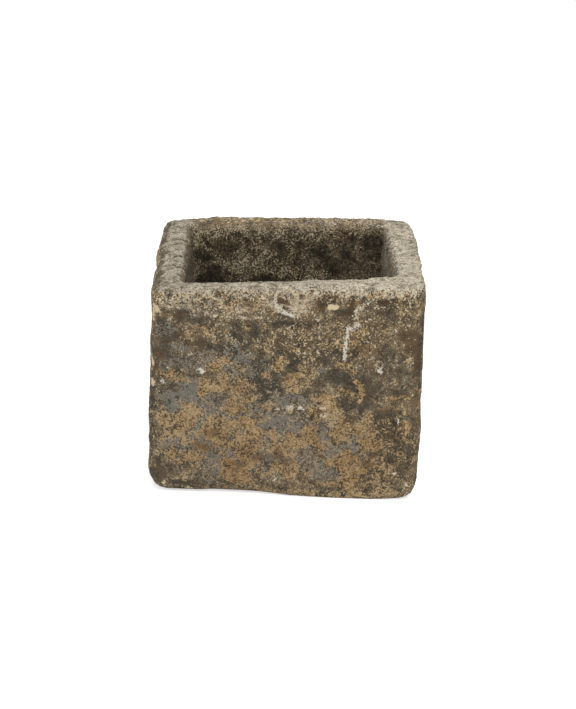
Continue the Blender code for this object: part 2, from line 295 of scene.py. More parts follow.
class TroughBlock(PropertyGroup):
    """The block, its cavity and the fineness of its surface."""

    left_wall: length("Left wall", 0.051, "Thickness of the left wall at the rim")
    right_wall: length("Right wall", 0.046, "Thickness of the right wall at the rim")
    front_wall: length("Front wall", 0.057, "Thickness of the front wall at the rim")
    back_wall: length("Back wall", 0.062, "Thickness of the back wall at the rim")
    floor: length("Floor", 0.070, "Thickness of the stone under the cavity")
    arris: length("Arris", 0.014, "Rounding of the block's edges before it takes its form")
    fineness: length("Fineness", 0.0030, "Size of the mesh's faces")


class TroughRelief(PropertyGroup):
    """The unevenness of the stone, from lumps down to pits."""

    lump_size: length("Lump size", 0.036, "Width of the lumps left by the chisel")
    lump_depth: length("Lump depth", 0.0032, "Height of the lumps")
    knob_size: length("Knob size", 0.013, "Width of the knobs between the lumps")
    knob_depth: length("Knob depth", 0.0008, "Height of the knobs")
    grain_size: length("Grain size", 0.0055, "Width of the coarse grain")
    grain_depth: length("Grain depth", 0.0003, "Height of the coarse grain")
    pit_size: length("Pit size", 0.0065, "Width of the pits")
    pit_depth: length("Pit depth", 0.0007, "Depth of the pits")
    ledge_depth: length("Ledge depth", 0.0029, "Height of the ledges across the left rim")
    ledge_run: length("Ledge run", 0.045, "How far a ledge takes to fade")
    stroke_pitch: length("Stroke pitch", 0.0165, "Spacing of the chisel strokes over the rim")
    stroke_depth: length("Stroke depth", 0.0005, "Depth of the chisel strokes")
    chip_size: length("Chip size", 0.024, "Width of the chips along the arrises")
    chip_depth: length("Chip depth", 0.0026, "Depth of the chips along the arrises")


class TroughColours(PropertyGroup):
    """The stone's own colours and those of what grows and runs on it."""

    pore: colour("Pores", 50, 43, 32, "Darkest pores and pits")
    stone_dark: colour("Stone, dark", 82, 74, 60, "Darker bare stone")
    stone: colour("Stone", 108, 97, 78, "Bare stone of the faces")
    stone_light: colour("Stone, light", 142, 127, 101, "Paler grains of the faces")
    cream: colour("Cream flecks", 208, 193, 164, "Palest flecks of the crust")
    fleck: colour("Tan flecks", 184, 157, 116, "Commonest flecks of the crust")
    umber: colour("Umber", 110, 89, 66, "Warm stain in the bare stone")
    # The rim's worn colours, then its dark ones, which stand for dirt and, where the ledge mark lays them,
    # for painted shade
    rim_left: colour("Rim, left", 160, 151, 134, "Worn stone of the rim's left side")
    rim_left_grime_and_shade: colour("Rim, left, dark", 82, 73, 57, "Grime on the rim's left side")
    rim_right: colour("Rim, right", 180, 171, 152, "Worn stone of the rim's right side")
    rim_right_grime_and_shade: colour("Rim, right, dark", 112, 102, 85, "Grime on the rim's right side")
    ochre: colour("Ochre lichen", 147, 117, 78, "Thin ochre lichen")
    ochre_dark: colour("Ochre lichen, dark", 114, 86, 56, "Brown edges of the ochre lichen")
    tan: colour("Tan lichen", 166, 144, 109, "Pale tan lichen")
    bloom: colour("Bloom", 190, 176, 154, "Pale, dusty bloom")
    slate: colour("Slate lichen", 111, 107, 98, "Smooth grey lichen")
    soot: colour("Soot", 62, 57, 47, "Black crust")
    brown: colour("Brown", 84, 63, 43, "Brown iron stains")
    # The cavity's colours are algae; on the side walls they are also laid on as painted shade
    cavity_dark: colour("Cavity, dark", 43, 37, 27, "Wet algae in the cavity")
    cavity: colour("Cavity", 66, 58, 44, "Damp algae in the cavity")
    cavity_mid: colour("Cavity, mid", 95, 84, 65, "Thin algae in the cavity")
    cavity_fleck: colour("Cavity, flecks", 150, 135, 105, "Pale flecks in the cavity")
    lime: colour("Lime", 214, 206, 189, "White lime runs")
    mortar: colour("Mortar", 208, 188, 154, "Smears of old mortar")


class TroughStage(PropertyGroup):
    """The camera of the photograph: its lens, distance, angles and aim."""

    lens: length("Lens", 0.10186, "Focal length on a 36 mm sensor")
    distance: length("Distance", 3.32, "From the camera to the trough's middle")
    elevation: angle("Elevation", 18.5, "Camera's height")
    roll: angle("Roll", 2.1, "Tilt of the picture")
    target_x: length("Target X", 0.0051, "Middle of the picture, across")
    target_z: length("Target Z", 0.1670, "Middle of the picture, up")


def deselect_all():
    if bpy.context.object and bpy.context.object.mode != "OBJECT":
        bpy.ops.object.mode_set(mode="OBJECT")
    bpy.ops.object.select_all(action="DESELECT")


def select_faces(mesh, wanted):
    """In edit mode, selects only the faces that wanted() picks."""
    bpy.ops.mesh.select_mode(type="FACE")
    bpy.ops.mesh.select_all(action="DESELECT")
    edit = bmesh.from_edit_mesh(mesh)
    for face in edit.faces:
        if wanted(face):
            face.select_set(True)
    bmesh.update_edit_mesh(mesh)


def apply_modifier(piece, kind, **settings):
    """Adds a modifier, sets it and applies it."""
    modifier = piece.modifiers.new(kind.title(), kind)
    for name, value in settings.items():
        setattr(modifier, name, value)
    bpy.ops.object.modifier_apply(modifier=modifier.name)


def clouds(name, size, **settings):
    pattern = bpy.data.textures.new(name, "CLOUDS")
    pattern.noise_scale = size
    for setting, value in settings.items():
        setattr(pattern, setting, value)
    return pattern


def paint_group(piece, name, weights, steps=32):
    """Writes the weights, one a vertex, as a vertex group in even steps."""
    group = piece.vertex_groups.new(name=name)
    nearest = np.rint(np.clip(weights, 0.0, 1.0) * steps).astype(int)
    for step in range(1, steps + 1):
        group.add(np.flatnonzero(nearest == step).tolist(), step / steps, "REPLACE")


def paint_attribute(piece, name, values):
    attribute = piece.data.attributes.new(name, "FLOAT", "POINT")
    attribute.data.foreach_set("value", np.clip(values, 0.0, 1.0).astype(np.float32))


def read(mesh, what):
    """A vector for each vertex of a mesh: its place, "co", or its "normal"."""
    flat = np.empty(len(mesh.vertices) * 3)
    mesh.vertices.foreach_get(what, flat)
    return flat.reshape(-1, 3)


def softened(mesh, vectors, rounds):
    """Vectors, one a vertex, each averaged with its neighbours' a number of times."""
    ends = np.empty(len(mesh.edges) * 2, dtype=np.int32)
    mesh.edges.foreach_get("vertices", ends)
    first, second = ends[0::2], ends[1::2]
    neighbours = np.bincount(ends, minlength=len(vectors))
    soft = vectors.copy()
    for _ in range(rounds):
        for axis in range(3):
            values = soft[:, axis]
            total = np.bincount(first, values[second], len(vectors))
            total += np.bincount(second, values[first], len(vectors))
            soft[:, axis] = (values + total / neighbours) / 2
    return soft


def standing_out(mesh, rounds):
    """How far each vertex stands out of the surface around it, in metres."""
    at = read(mesh, "co")
    return ((at - softened(mesh, at, rounds)) * read(mesh, "normal")).sum(axis=1)


def facing(mesh, rounds):
    """Which way the surface looks at each vertex, once its lumps are smoothed over."""
    soft = softened(mesh, read(mesh, "normal"), rounds)
    return soft / np.linalg.norm(soft, axis=1, keepdims=True)


def rise(values, low, high):
    """0 at low, 1 at high and a smooth rise between them. It falls where low is over high."""
    share = np.clip((values - low) / (high - low), 0.0, 1.0)
    return share * share * (3 - 2 * share)


def between(low, high, share):
    return low + (high - low) * share


def swells(along, tops, lift=0.0):
    """How high the edge stands at each place along it."""
    return sum((top * rise(abs(along - middle), end, level) for top, middle, end, level in tops), lift)


def distance_to_line(across, up, points):
    """Distance from each place to a line through some points, all in the same plane."""
    nearest = np.full(len(across), np.inf)
    for (x0, z0), (x1, z1) in zip(points, points[1:]):
        run_x, run_z = x1 - x0, z1 - z0
        share = ((across - x0) * run_x + (up - z0) * run_z) / (run_x**2 + run_z**2)
        share = np.clip(share, 0.0, 1.0)
        nearest = np.minimum(nearest, np.hypot(across - x0 - share * run_x, up - z0 - share * run_z))
    return nearest


def scattered(generator, count, least, most):
    """Patches at random over one side, in the form of those on the front."""
    patches = []
    for _ in range(count):
        across = generator.uniform(-205, 205)
        up = generator.uniform(8, 335)
        half_width = least + (most - least) * generator.random() ** 2
        half_height = half_width * generator.uniform(0.45, 1.0)
        patches.append((across, up, half_width, half_height, generator.uniform(4.5, 10)))
    return patches


class Places:
    """Where each vertex of the stone lies on the trough."""

    # How deep a patch reaches into the stone, where the cavity's back wall lies, and how far out
    # a patch is full and where it ends, in half widths
    PATCH_DEPTH = 0.03
    CAVITY_BACK = 0.145
    PATCH_FULL, PATCH_END = 0.55, 1.35

    # Waves in the edges of patches, coarse and fine: their size, and how far they reach. Patches
    # with a half width or height under FULL_WAVES, in millimetres, have weaker ones.
    WAVES = ((0.022, 0.020), (0.009, 0.009))
    FULL_WAVES = 12

    # How much of the rim beside a corner belongs to it
    CORNER_REACH = 0.06

    def __init__(self, mesh, block):
        self.at = read(mesh, "co")
        self.wander = None
        x, y, z = self.at.T
        self.below = self.rim_height(x, y) - z
        inwards = (x - LOW.x, HIGH.x - x, y - LOW.y, HIGH.y - y)
        walls = (block.left_wall, block.right_wall, block.front_wall, block.back_wall)
        self.into_mouth = np.min([place - wall for place, wall in zip(inwards, walls)], axis=0)
        nearest = np.sort(np.stack((*inwards, z, self.below)), axis=0)
        self.from_arris = nearest[0] + nearest[1]
        above_floor = rise(z, block.floor * 0.5, block.floor)
        self.cavity = rise(self.into_mouth, -0.022, -0.006) * above_floor

    def rim_height(self, x, y):
        """Height of the rim's top, between its four corners."""
        across = np.clip((x - LOW.x) / (HIGH.x - LOW.x), 0.0, 1.0)
        back = np.clip((y - LOW.y) / (HIGH.y - LOW.y), 0.0, 1.0)
        edges = []
        for edge_y in (LOW.y, HIGH.y):
            at_edge = abs(y - edge_y) < self.CORNER_REACH
            corners = (at_edge & (abs(x - edge_x) < self.CORNER_REACH) for edge_x in (LOW.x, HIGH.x))
            edges.append(between(*(self.at[near, 2].max() for near in corners), across))
        return between(*edges, back)

    def drift(self, size, reach):
        """How far the edges of patches wander at each vertex, the same in each run."""
        noise.seed_set(SEED)
        return reach * np.array([noise.noise_vector(place) for place in self.at / size])

    def blot(self, centre, reach, wander):
        """Nearly 1 over the middle of a place, and none past its wandering edge."""
        apart = (self.at + wander - np.array(centre)) / np.array(reach)
        return rise(np.sqrt((apart * apart).sum(axis=1)), self.PATCH_END, self.PATCH_FULL)

    def patches(self, side, patches):
        """How strongly the patches on one side cover each vertex."""
        cover = np.zeros(len(self.at))
        if self.wander is None:
            self.wander = sum(self.drift(size, reach) for size, reach in self.WAVES)
        for across, up, half_width, half_height, strength in patches:
            wander = self.wander * min(1.0, min(half_width, half_height) / self.FULL_WAVES) ** 2
            across, up, half_width, half_height = np.array((across, up, half_width, half_height)) * MM
            centre, reach = {
                "front": ((across, LOW.y, up), (half_width, self.PATCH_DEPTH, half_height)),
                "back": ((-across, HIGH.y, up), (half_width, self.PATCH_DEPTH, half_height)),
                "left": ((LOW.x, -across, up), (self.PATCH_DEPTH, half_width, half_height)),
                "right": ((HIGH.x, across, up), (self.PATCH_DEPTH, half_width, half_height)),
                "cavity": ((across, self.CAVITY_BACK, up), (half_width, self.PATCH_DEPTH, half_height)),
            }[side]
            cover = np.maximum(cover, strength / 10 * self.blot(centre, reach, wander))
        return cover

    def ledge_distances(self):
        """Each ledge's strength, and how far in front of it each vertex lies."""
        x, y = self.at[:, 0] / MM, self.at[:, 1] / MM
        for strength, points in LEDGES:
            line_x, line_y = zip(*points)
            yield strength, (np.interp(x, line_x, line_y) - y) * MM

    def ledge_light_and_shade(self, block, looks):
        """Painted light and shade on the left rim: a painted highlight along the crest of each ledge, painted
        shadow behind it and painted shade on the wall's outer shoulder, round a middle of 0.5."""
        tone = np.zeros(len(self.at))
        for strength, in_front in self.ledge_distances():
            crest = rise(in_front, -0.001, 0.003) * rise(in_front, 0.028, 0.004)
            behind = rise(in_front, -0.012, -0.003) * rise(in_front, 0.002, -0.002)
            tone += strength * (0.5 * crest - behind)
        on_left = rise(self.at[:, 0], LOW.x + block.left_wall + 0.004, LOW.x + block.left_wall - 0.01)
        tone -= 0.9 * rise(-looks[:, 0], 0.25, 0.70)
        return 0.5 + 0.5 * np.clip(tone, -1.0, 1.0) * on_left * rise(self.below, 0.060, 0.025)

    def lime_runs(self):
        """How strongly the white runs cover each vertex of the front."""
        cover = np.zeros(len(self.at))
        x, y, z = self.at.T
        on_front = rise(y, LOW.y + 0.05, LOW.y + 0.025)
        for half_width, strength, points in LIME_RUNS:
            off = distance_to_line(x / MM, z / MM, points)
            run = rise(off, half_width * 1.6, half_width * 0.4)
            cover = np.maximum(cover, strength * run * on_front)
        return cover


class TROUGH_OT_stone(Operator):
    """Model the hollowed block, roughen it and paint on what grows on it"""

    bl_idname = "trough.stone"
    bl_label = "Hewn block"

    def execute(self, context):
        scene = context.scene
        block, relief = scene.trough_block, scene.trough_relief
        piece = self.hollowed_block(block)
        self.take_form(piece, block)
        self.wear(piece, block)
        self.roughen(piece, block, relief)
        self.finish(piece)
        self.weather(piece, block)
        bpy.ops.object.shade_smooth()
        piece.data.materials.append(Limestone(scene.trough_colours).material)
        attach(piece, "root")
        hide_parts("trough_body")
        return {"FINISHED"}

    def hollowed_block(self, block):
        deselect_all()
        bpy.ops.mesh.primitive_cube_add(size=1.0, location=(LOW + HIGH) / 2)
        piece = bpy.context.object
        piece.name = "trough_stone"
        piece.scale = HIGH - LOW
        bpy.ops.object.transform_apply(location=True, rotation=True, scale=True)
        bpy.ops.object.mode_set(mode="EDIT")
        select_faces(piece.data, lambda face: face.normal.z > 0.5)
        bpy.ops.mesh.inset(thickness=(block.left_wall + block.front_wall) / 2)
        bpy.ops.mesh.extrude_region_move(
            TRANSFORM_OT_translate={"value": (0.0, 0.0, block.floor - HIGH.z)}
        )
        bpy.ops.mesh.select_all(action="SELECT")
        bpy.ops.mesh.bevel(offset=block.arris, segments=4, affect="EDGES")
        bpy.ops.object.mode_set(mode="OBJECT")
        return piece

    def take_form(self, piece, block):
        """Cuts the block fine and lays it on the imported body."""
        apply_modifier(piece, "REMESH", mode="VOXEL", voxel_size=block.fineness)
        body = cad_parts["trough_body"]
        for smoothing in (4, 10):
            apply_modifier(piece, "SHRINKWRAP", target=body, wrap_method="NEAREST_SURFACEPOINT")
            apply_modifier(piece, "SMOOTH", factor=0.5, iterations=smoothing)

    def wear(self, piece, block):
        """Fills out the foot's front arris and the right wall's top arris, where the real ones
        are sharper, raises the back rim's humps and wears down the inner edge of the front rim."""
        places = Places(piece.data, block)
        x, y, z = places.at.T
        foot = swells(x, FOOT_SWELLS) * rise(np.hypot(y - LOW.y, z), ARRIS_REACH, 0.0)
        right_edge = swells(y, RIGHT_RIM_SWELLS)
        right_edge *= rise(np.hypot(x - HIGH.x, places.below), ARRIS_REACH, 0.0)
        humps = swells(x, BACK_RIM_SWELLS, BACK_RIM_LIFT)
        humps *= rise(y, HIGH.y - 0.055, HIGH.y - 0.025) * rise(places.below, 0.040, 0.010)
        worn = rise((y - LOW.y) / block.front_wall, 0.30, 0.95) * rise(y, -0.100, -0.130)
        worn *= rise(places.below, 0.050, 0.005) * rise(x, -0.190, -0.150) * rise(x, 0.140, 0.085)
        lower = foot + FRONT_RIM_WEAR * worn - humps
        moved = np.stack((x + right_edge, y - foot, z - lower), axis=1)
        piece.data.vertices.foreach_set("co", moved.ravel())
        piece.data.update()

    def roughen(self, piece, block, relief):
        """Displaces the surface, from ledges and lumps down to pits. The base stays flat."""
        places = Places(piece.data, block)
        x, y, z = places.at.T
        on_foot = rise(z, 0.010, 0.001)
        on_floor = rise(places.into_mouth, -0.01, 0.01) * rise(z, block.floor + 0.015, block.floor)
        free = (1 - on_foot) * (1 - on_floor)
        paint_group(piece, "free", free)
        paint_group(piece, "arris", np.exp(-places.from_arris / CHIP_REACH) * (1 - on_foot))
        near_rim = rise(places.below, 0.060, 0.010)
        paint_group(piece, "pitted", np.maximum(0.5, near_rim) * free)
        left_rim = rise(x, LOW.x + block.left_wall + 0.004, LOW.x + block.left_wall - 0.012)
        left_rim *= rise(places.below, 0.045, 0.015)
        paint_group(piece, "ledges", left_rim * self.ledges(places, relief))
        right_rim = rise(x, HIGH.x - block.right_wall - 0.004, HIGH.x - block.right_wall + 0.012)
        right_rim *= rise(places.below, 0.030, 0.010)
        waves = 0.5 + 0.5 * np.sin(2 * math.pi * (y + STROKE_SLANT * abs(x)) / relief.stroke_pitch)
        paint_group(piece, "strokes", (left_rim + 0.6 * right_rim) * waves)
        crack = rise(distance_to_line(x / MM, y / MM, CRACK), CRACK_EDGE, CRACK_BED)
        paint_group(piece, "crack", crack * rise(places.below, 0.040, 0.020))

        lumps = clouds("lumps", relief.lump_size, noise_depth=1)
        knobs = clouds("knobs", relief.knob_size, noise_depth=1)
        chips = clouds("chips", relief.chip_size, contrast=2.5, intensity=1.0)
        grain = clouds("grain", relief.grain_size, noise_depth=2)
        pits = clouds("pits", relief.pit_size, contrast=5.0, intensity=2.0)
        # Each pattern, where it works, how far out it moves the stone, and its level at rest
        steps = (
            (None, "ledges", relief.ledge_depth, 0.0),
            (None, "strokes", -relief.stroke_depth, 0.0),
            (lumps, "free", relief.lump_depth, 0.55),
            (knobs, "free", relief.knob_depth, 0.5),
            (chips, "arris", -relief.chip_depth, 0.0),
            (grain, "free", relief.grain_depth, 0.5),
            (pits, "pitted", relief.pit_depth, 1.0),
            (None, "crack", -CRACK_DEPTH, 0.0),
        )
        for pattern, group, strength, level in steps:
            apply_modifier(
                piece,
                "DISPLACE",
                texture=pattern,
                texture_coords="LOCAL",
                vertex_group=group,
                strength=strength,
                mid_level=level,
            )
        piece.vertex_groups.clear()

    def ledges(self, places, relief):
        """Overlapping swells. Each starts at a ledge with a step and fades towards the front."""
        height = np.zeros(len(places.at))
        for strength, in_front in places.ledge_distances():
            fading = np.exp(-np.maximum(in_front, 0.0) / relief.ledge_run)
            height = np.maximum(height, strength * fading * rise(in_front, -0.001, 0.002))
        return height

    def finish(self, piece):
        """Thins the mesh where it is plain and keeps the stone inside the body's box."""
        mesh = piece.data
        ratio = MOST_TRIANGLES / (len(mesh.loops) - 2 * len(mesh.polygons))
        if ratio < 1:
            apply_modifier(piece, "DECIMATE", decimate_type="COLLAPSE", ratio=ratio)
        at = np.clip(read(mesh, "co"), np.array(LOW), np.array(HIGH))
        mesh.vertices.foreach_set("co", at.ravel())
        mesh.update()

    def weather(self, piece, block):
        """Marks how worn and how proud the stone is, where light and shade are painted on it, and then what
        grows and runs on it. A pair of amounts is for the left and the right end of the trough."""
        mesh = piece.data
        places = Places(mesh, block)
        x, y, z = places.at.T
        looks = facing(mesh, ROUNDS)
        turned = facing(mesh, ROUNDS // 2)
        right = rise(x, LOW.x + 0.03, HIGH.x - 0.03)
        on_rim = rise(places.below, 0.045, 0.025)
        on_back = rise(y, HIGH.y - block.back_wall - 0.012, HIGH.y - block.back_wall + 0.004)
        back_wall = rise(-looks[:, 1], 0.35, 0.75) * places.cavity
        side_wall = rise(abs(turned[:, 0]) - abs(turned[:, 1]), -0.15, 0.15) * places.cavity
        side_wall *= rise(looks[:, 2], 0.90, 0.60)

        top = rise(looks[:, 2] - 0.15 * places.cavity, 0.45, 0.78) * on_rim
        dull_back = between(0.95, 0.65, rise(x, 0.0, 0.05)) * on_back * rise(abs(x), 0.185, 0.150)
        # The pale rim colour reaches further down the right side wall than the left: worn stone, and painted
        # light on the right wall
        side_rim = between(0.44, 0.74, right) * side_wall * rise(places.below, 0.28, 0.06)
        spilled = 0.50 * rise(places.below, 0.034, 0.004) * rise(-looks[:, 1], 0.2, 0.7)
        spilled *= 1 - places.cavity
        rim = np.maximum.reduce((top * (1 - dull_back), side_rim, spilled))
        # Painted light and shade for the rim: a painted highlight on the ledges' crests, painted shade behind
        # them and on the left wall's outer shoulder, and painted shade with dirt down the cavity's side
        # walls, more on the left
        ledge = places.ledge_light_and_shade(block, looks) - between(0.35, 0.27, right) * side_wall
        # Painted shade on the cavity's side walls: more of the cavity's dark colour deeper down, and more on
        # the left wall than on the right
        side_shade = between(0.45, 0.10, right) * rise(places.below, 0.06, 0.20)
        side_shade += between(0.30, 0.10, right)
        shade = between(rise(places.below, -0.002, 0.014), side_shade, side_wall)
        back = np.maximum(back_wall, on_back)
        for name, values in {
            "rim": rim,
            "right": right * rise(y, HIGH.y, HIGH.y - 0.09),
            "ledge": ledge,
            # Algae in the cavity, and painted shade on its side walls
            "inside": places.cavity * shade * (1 - top),
            "mottle": back * places.patches("cavity", CAVITY_PATCHES["mottle"]),
            "height": 0.5 + standing_out(mesh, ROUNDS) / HEIGHT_RANGE,
        }.items():
            paint_attribute(piece, name, values)
        self.grow(piece, places, back_wall, on_back * on_rim)

    def grow(self, piece, places, back_wall, back_rim):
        """Marks each growth: placed one by one on the front and the cavity's back wall, and at random on the
        sides that aren't seen."""
        generator = np.random.default_rng(SEED)
        off_front = rise(places.at[:, 1], LOW.y + 0.008, LOW.y + 0.030)
        more = {
            "crust": np.maximum(0.8 * rise(places.below, 0.055, 0.015), 0.45 * back_rim),
            "lime": places.lime_runs(),
        }
        for name, front in FRONT_PATCHES.items():
            cover = places.patches("front", front)
            for side in ("left", "right", "back"):
                patches = scattered(generator, *UNSEEN_PATCHES[name])
                cover = np.maximum(cover, places.patches(side, patches) * off_front)
            if name in more:
                cover = np.maximum(cover, more[name])
            cover *= 1 - places.cavity
            if name in CAVITY_PATCHES:
                inside = places.patches("cavity", CAVITY_PATCHES[name])
                cover = np.maximum(cover, inside * back_wall)
            paint_attribute(piece, name, cover)


class Shading:
    """Adds nodes to a tree, with each input set to a value or linked to a socket."""

    def __init__(self, tree):
        self.tree = tree

    def node(self, kind, inputs=(), **settings):
        node = self.tree.nodes.new(kind)
        for name, value in settings.items():
            setattr(node, name, value)
        return self.fill(node, inputs)

    def fill(self, node, inputs):
        """Sets each input of a node to a value or links it to a socket."""
        for socket, value in dict(inputs).items():
            if isinstance(value, bpy.types.NodeSocket):
                self.tree.links.new(value, node.inputs[socket])
            else:
                node.inputs[socket].default_value = value
        return node

    def noise(self, vector, size, detail, curl=0.0):
        """Noise with lumps of about the given size, in metres, curled as lichens are."""
        inputs = {"Vector": vector, "Scale": 1 / size, "Detail": detail, "Distortion": curl}
        return self.node("ShaderNodeTexNoise", inputs | {"Roughness": 0.6}).outputs["Fac"]

    def mark(self, name):
        return self.node("ShaderNodeAttribute", attribute_name=name).outputs["Fac"]

    def math(self, operation, *values):
        return self.node("ShaderNodeMath", enumerate(values), operation=operation).outputs[0]

    def sum(self, *parts, base=0.0):
        """Adds up sockets, each with its share, and a base."""
        total = base
        for socket, share in parts:
            total = self.math("ADD", total, self.math("MULTIPLY", socket, share))
        return total

    def mix(self, share, first, second):
        """Mixes two tones, each a socket or a plain colour."""
        inputs = {0: share}
        for place, tone in ((6, first), (7, second)):
            inputs[place] = tone if isinstance(tone, bpy.types.NodeSocket) else (*tone, 1.0)
        return self.node("ShaderNodeMix", inputs, data_type="RGBA").outputs[2]

    def over(self, below, tone, mask, strength=1.0):
        """Lays a film of a tone on what is below it."""
        return self.mix(self.math("MULTIPLY", mask, strength), below, tone)

    def stretch(self, value, low, high, to_low=0.0, to_high=1.0):
        """A smooth rise from one level to another as the value goes from low to high."""
        inputs = enumerate((value, low, high, to_low, to_high))
        return self.node("ShaderNodeMapRange", inputs, interpolation_type="SMOOTHSTEP").outputs[0]

    def ramp(self, value, *stops):
        node = self.node("ShaderNodeValToRGB", {0: value})
        elements = node.color_ramp.elements
        while len(elements) < len(stops):
            elements.new(1.0)
        for element, (place, tone) in zip(elements, stops):
            element.position = place
            element.color = (*tone, 1.0)
        return node.outputs[0]


def ragged_patch():
    """The node group behind each mask, with its inputs in the order of Limestone.patch."""
    tree = bpy.data.node_groups.new("Ragged patch", "ShaderNodeTree")
    for name in ("Patch", "Pattern", "Raggedness", "Softness"):
        tree.interface.new_socket(name, in_out="INPUT", socket_type="NodeSocketFloat")
    tree.interface.new_socket("Mask", in_out="OUTPUT", socket_type="NodeSocketFloat")
    shading = Shading(tree)
    given = shading.node("NodeGroupInput").outputs
    centred = shading.math("SUBTRACT", given["Pattern"], 0.5)
    level = shading.math("MULTIPLY_ADD", centred, given["Raggedness"], given["Patch"])
    low = shading.math("SUBTRACT", 0.5, given["Softness"])
    high = shading.math("ADD", 0.5, given["Softness"])
    sharp = shading.stretch(level, low, high)
    present = shading.stretch(given["Patch"], 0.02, 0.2)
    shading.node("NodeGroupOutput", {"Mask": shading.math("MULTIPLY", sharp, present)})
    return tree


class Limestone:
    """The stone's material, built up in the order in which it weathered."""

    def __init__(self, colours):
        self.colours = colours
        self.material = bpy.data.materials.new("weathered_limestone")
        self.material.use_nodes = True
        self.group = ragged_patch()
        self.shading = shading = Shading(self.material.node_tree)
        self.place = shading.node("ShaderNodeTexCoord").outputs["Object"]
        self.speckle = shading.noise(self.place, 0.0024, 0.0)
        self.grain = shading.noise(self.place, 0.0045, 2.0, 1.2)
        self.chance = shading.noise(self.place, 0.0070, 2.0)
        self.mottle = shading.noise(self.place, 0.0100, 3.0, 1.6)
        self.blotch = shading.noise(self.place, 0.021, 4.0)
        self.cloud = shading.noise(self.place, 0.060, 4.0)
        self.coarse = shading.sum((self.pattern(0.0, 0.20, 0.30, 0.30), 1.0), (self.cloud, 0.20))
        self.height = shading.mark("height")
        self.smooth = self.patch(shading.mark("slate"), self.pattern(0.2, 0.35, 0.3, 0.15), 4.6, 0.14)
        tone = self.bare_stone()
        for layer in (self.films, self.crust, self.rim, self.cavity, self.spills):
            tone = layer(tone)
        self.finish(tone)

    def patch(self, amount, pattern, raggedness, softness):
        """A mask that follows an amount, with its edge broken up by a pattern."""
        inputs = enumerate((amount, pattern, raggedness, softness))
        return self.shading.node("ShaderNodeGroup", inputs, node_tree=self.group).outputs["Mask"]

    def pattern(self, speckle, grain, mottle, blotch=0.0):
        """The noises mixed, by their shares."""
        parts = (self.speckle, speckle), (self.grain, grain), (self.mottle, mottle), (self.blotch, blotch)
        return self.shading.sum(*(part for part in parts if part[1]))

    def ramp(self, value, **stops):
        """Runs through colours by name, each at its own level of the value."""
        stops = ((level, getattr(self.colours, name)) for name, level in stops.items())
        return self.shading.ramp(value, *stops)

    def film(self, tone, name, pattern, raggedness, softness, strength=1.0):
        """Lays a growth's colour where the mesh is marked with its name. Gives its mask as well."""
        mask = self.patch(self.shading.mark(name), pattern, raggedness, softness)
        return self.shading.over(tone, getattr(self.colours, name), mask, strength), mask

    def grit(self, tone, amount):
        """Darkens and lightens a tone grain by grain, by an amount from 0 to 1."""
        shading = self.shading
        darkest = shading.math("MULTIPLY_ADD", amount, -0.46, 1.0)
        lightest = shading.math("MULTIPLY_ADD", amount, 0.68, 1.0)
        gain = shading.stretch(self.pattern(0.5, 0.5, 0.0), 0.36, 0.64, darkest, lightest)
        scaled = shading.node("ShaderNodeVectorMath", {0: tone, "Scale": gain}, operation="SCALE")
        return scaled.outputs["Vector"]

    def bare_stone(self):
        shading = self.shading
        level = shading.sum((self.coarse, 1.0), (shading.mark("soot"), -0.03))
        grey = self.ramp(level, soot=0.38, stone_dark=0.46, stone=0.53, stone_light=0.62)
        warm = shading.noise(self.place, 0.037, 4.0)
        stain = shading.stretch(shading.sum((warm, 0.7), (self.mottle, 0.3)), 0.47, 0.58)
        return shading.over(grey, self.colours.umber, stain, 0.5)

    def films(self, tone):
        """Soot, the lichens, the bloom and the brown stains."""
        shading = self.shading
        tone, _ = self.film(tone, "soot", self.pattern(0.2, 0.4, 0.4), 3.2, 0.22, 0.7)
        slate = self.ramp(self.pattern(0.0, 0.5, 0.5), stone_dark=0.32, slate=0.44)
        tone = shading.over(tone, slate, self.smooth, 0.9)
        ragged = self.pattern(0.15, 0.45, 0.25, 0.15)
        ochre = shading.math("MULTIPLY", shading.mark("ochre"), 0.88)
        self.ochre_mask = self.patch(ochre, ragged, 5.0, 0.3)
        ripe = self.pattern(0.2, 0.3, 0.1, 0.2)
        ripe = shading.sum((ripe, 1.0), (self.cloud, 0.2), (shading.mark("brown"), -0.08))
        ochre = self.ramp(ripe, ochre_dark=0.43, ochre=0.50, tan=0.59)
        tone = shading.over(tone, ochre, self.ochre_mask, 0.9)
        tone, _ = self.film(tone, "tan", ragged, 5.0, 0.2, 0.75)
        tone, _ = self.film(tone, "bloom", ragged, 3.6, 0.3, 0.8)
        tone, self.brown_mask = self.film(tone, "brown", ragged, 5.0, 0.3, 0.88)
        return tone

    def crust(self, tone):
        """Grit, dark pores and pale flecks, strongest where the crust is."""
        shading, height, smooth = self.shading, self.height, self.smooth
        crust = shading.mark("crust")
        amount = shading.sum((crust, 0.6), (smooth, -0.3), (self.ochre_mask, -0.2), base=0.65)
        tone = self.grit(tone, amount)
        pores = shading.sum((height, -0.4), (crust, 0.22), (smooth, -0.2), (self.blotch, -0.7), base=0.70)
        pores = shading.sum((pores, 1.0), (self.ochre_mask, -0.12))
        pore_mask = self.patch(pores, self.pattern(0.6, 0.4, 0.0), 3.0, 0.15)
        tone = shading.over(tone, self.colours.pore, pore_mask, 0.78)
        flecks = shading.sum((height, 0.3), (crust, 0.34), (smooth, -0.3), (self.blotch, 0.9), base=-0.52)
        flecks = shading.sum((flecks, 1.0), (shading.mark("soot"), -0.24), (self.brown_mask, -0.28))
        self.fleck_mask = self.patch(flecks, shading.noise(self.place, 0.0028, 1.0), 2.6, 0.14)
        fleck = self.ramp(self.chance, ochre=0.40, fleck=0.48, cream=0.58)
        return shading.over(tone, fleck, self.fleck_mask, 0.9)

